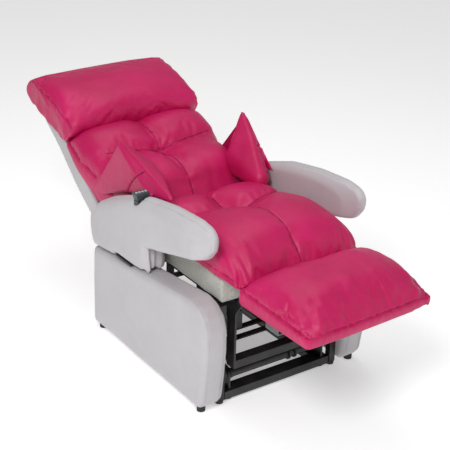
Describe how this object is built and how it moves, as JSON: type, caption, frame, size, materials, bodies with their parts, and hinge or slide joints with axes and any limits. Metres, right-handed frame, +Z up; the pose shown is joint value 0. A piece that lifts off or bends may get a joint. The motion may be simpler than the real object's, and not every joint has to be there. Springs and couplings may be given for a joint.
{
  "type": "patient recliner chair",
  "caption": "Motorised riser recliner for a ward, with a reclining back, a fold-out leg rest, lift-off arms, wing pillows and a handset.",
  "frame": {"origin": "on the floor under the middle of the reclined chair", "axes": "+Z up, -Y is the way the sitter faces, +X is the sitter's left"},
  "size_m": [0.7, 1.7929, 0.8074],
  "materials": {
    "painted_steel": "satin black powder coat",
    "zinc_steel": "zinc plated",
    "black_rubber": "matte",
    "black_plastic": "fine texture",
    "black_board": "black felt-faced board",
    "box_fabric": "plain weave",
    "pink_leather": "soft grain, satin",
    "grey_vinyl": "fine grain vinyl, satin",
    "handset_plastic": "fine texture",
    "key_plastic": "satin"
  },
  "bodies": {
    "base": {"base_front_tube": "painted_steel", "base_side_rails": "painted_steel", "base_rear_tube": "painted_steel", "floor_pads": "black_rubber", "lift_horns": "painted_steel", "lift_pivot_pins": "zinc_steel", "lift_motor": "black_plastic", "lift_motor_bracket": "painted_steel"},
    "front_lift": {"front_lift_arms": "painted_steel", "lift_torque_tube": "painted_steel", "lift_crank": "painted_steel"},
    "upper_lift": {"upper_lift_arms": "painted_steel"},
    "lift_push_rod": {"lift_rod": "zinc_steel"},
    "chassis": {"chassis_side_plates": "painted_steel", "chassis_crossbars": "painted_steel", "chassis_pivot_pins": "zinc_steel", "hinge_pins": "zinc_steel", "seat_box": "box_fabric", "seat_springs": "zinc_steel", "seat_cushion": "pink_leather", "right_side_panel": "grey_vinyl", "left_side_panel": "grey_vinyl", "panel_spacers": "painted_steel", "panel_glides": "black_rubber", "front_posts": "painted_steel", "arm_sockets": "painted_steel", "legrest_motor": "black_plastic", "recline_motor": "black_plastic", "control_box": "black_plastic", "mains_inlet": "black_plastic"},
    "leg_rest": {"legrest_arms": "painted_steel", "legrest_hinge_tube": "painted_steel", "legrest_board": "black_board", "legrest_brackets": "zinc_steel", "legrest_screws": "zinc_steel", "legrest_pad": "pink_leather"},
    "legrest_push_rod": {"legrest_rod": "zinc_steel"},
    "backrest": {"back_frame": "painted_steel", "back_hinge_tube": "painted_steel", "back_shell": "grey_vinyl", "back_cushion": "pink_leather", "headrest": "pink_leather"},
    "recline_push_rod": {"recline_rod": "zinc_steel"},
    "right_wing": {"right_wing_pillow": "pink_leather"},
    "left_wing": {"left_wing_pillow": "pink_leather"},
    "right_arm_unit": {"right_arm": "grey_vinyl", "right_arm_tubes": "painted_steel", "handset_holder": "handset_plastic"},
    "left_arm_unit": {"left_arm": "grey_vinyl", "left_arm_tubes": "painted_steel"},
    "right_latch_slide": {"right_latch": "black_plastic"},
    "left_latch_slide": {"left_latch": "black_plastic"},
    "handset_unit": {"handset": "handset_plastic"},
    "back_up_button": {"back_up_key": "key_plastic"},
    "back_down_button": {"back_down_key": "key_plastic"},
    "leg_up_button": {"leg_up_key": "key_plastic"},
    "leg_down_button": {"leg_down_key": "key_plastic"}
  },
  "joints": [
    {"name": "lift", "type": "hinge", "parent": "base", "child": "front_lift", "pos_m": [0, -0.413, 0.09], "axis": [1, 0, 0], "range_deg": [0, 40]},
    {"name": "chassis_tilt", "type": "hinge", "parent": "front_lift", "child": "chassis", "pos_m": [0, -0.173, 0.13], "axis": [1, 0, 0], "range_deg": [-28.5, 0.5]},
    {"name": "upper_arm_swing", "type": "hinge", "parent": "base", "child": "upper_lift", "pos_m": [0, -0.351, 0.1245], "axis": [1, 0, 0], "range_deg": [-0.5, 36]},
    {"name": "lift_rod_slide", "type": "slide", "parent": "base", "child": "lift_push_rod", "axis": [0, -1, 0], "range_m": [-0.001, 0.042]},
    {"name": "leg_rest_fold", "type": "hinge", "parent": "chassis", "child": "leg_rest", "pos_m": [0, -0.508, 0.438], "axis": [1, 0, 0], "range_deg": [0, 90]},
    {"name": "legrest_rod_slide", "type": "slide", "parent": "chassis", "child": "legrest_push_rod", "axis": [0, 1, 0], "range_m": [-0.001, 0.1145]},
    {"name": "back_recline", "type": "hinge", "parent": "chassis", "child": "backrest", "pos_m": [0, 0.172, 0.432], "axis": [1, 0, 0], "range_deg": [-5, 38]},
    {"name": "recline_rod_slide", "type": "slide", "parent": "chassis", "child": "recline_push_rod", "axis": [0, 1, 0], "range_m": [-0.008, 0.053]},
    {"name": "right_wing_slide", "type": "slide", "parent": "backrest", "child": "right_wing", "axis": [0, 0.7944, 0.6074], "range_m": [-0.03, 0.21]},
    {"name": "left_wing_slide", "type": "slide", "parent": "backrest", "child": "left_wing", "axis": [0, 0.7944, 0.6074], "range_m": [-0.03, 0.21]},
    {"name": "right_arm_lift_off", "type": "slide", "parent": "chassis", "child": "right_arm_unit", "axis": [0, 0, 1], "range_m": [0, 0.13]},
    {"name": "left_arm_lift_off", "type": "slide", "parent": "chassis", "child": "left_arm_unit", "axis": [0, 0, 1], "range_m": [0, 0.13]},
    {"name": "right_latch_travel", "type": "slide", "parent": "right_arm_unit", "child": "right_latch_slide", "axis": [0, 1, 0], "range_m": [0, 0.01]},
    {"name": "left_latch_travel", "type": "slide", "parent": "left_arm_unit", "child": "left_latch_slide", "axis": [0, 1, 0], "range_m": [0, 0.01]},
    {"name": "handset_lift_out", "type": "slide", "parent": "right_arm_unit", "child": "handset_unit", "axis": [0, 0, 1], "range_m": [0, 0.06]},
    {"name": "back_up_press", "type": "slide", "parent": "handset_unit", "child": "back_up_button", "axis": [0, 0, -1], "range_m": [0, 0.0015], "stiffness_N_per_m": 500, "springref_m": -0.001},
    {"name": "back_down_press", "type": "slide", "parent": "handset_unit", "child": "back_down_button", "axis": [0, 0, -1], "range_m": [0, 0.0015], "stiffness_N_per_m": 500, "springref_m": -0.001},
    {"name": "leg_up_press", "type": "slide", "parent": "handset_unit", "child": "leg_up_button", "axis": [0, 0, -1], "range_m": [0, 0.0015], "stiffness_N_per_m": 500, "springref_m": -0.001},
    {"name": "leg_down_press", "type": "slide", "parent": "handset_unit", "child": "leg_down_button", "axis": [0, 0, -1], "range_m": [0, 0.0015], "stiffness_N_per_m": 500, "springref_m": -0.001}
  ],
  "couplings": [
    {"joint": "chassis_tilt", "follows": "lift", "ratio": -0.7},
    {"joint": "upper_arm_swing", "follows": "lift", "ratio": 0.8892},
    {"joint": "lift_rod_slide", "follows": "lift", "m_per_rad": 0.05879},
    {"joint": "legrest_rod_slide", "follows": "leg_rest_fold", "m_per_rad": 0.07203},
    {"joint": "recline_rod_slide", "follows": "back_recline", "m_per_rad": 0.078},
    {"joint": "right_wing_slide", "follows": "back_recline", "m_per_rad": 0.3123},
    {"joint": "left_wing_slide", "follows": "back_recline", "m_per_rad": 0.3123}
  ]
}
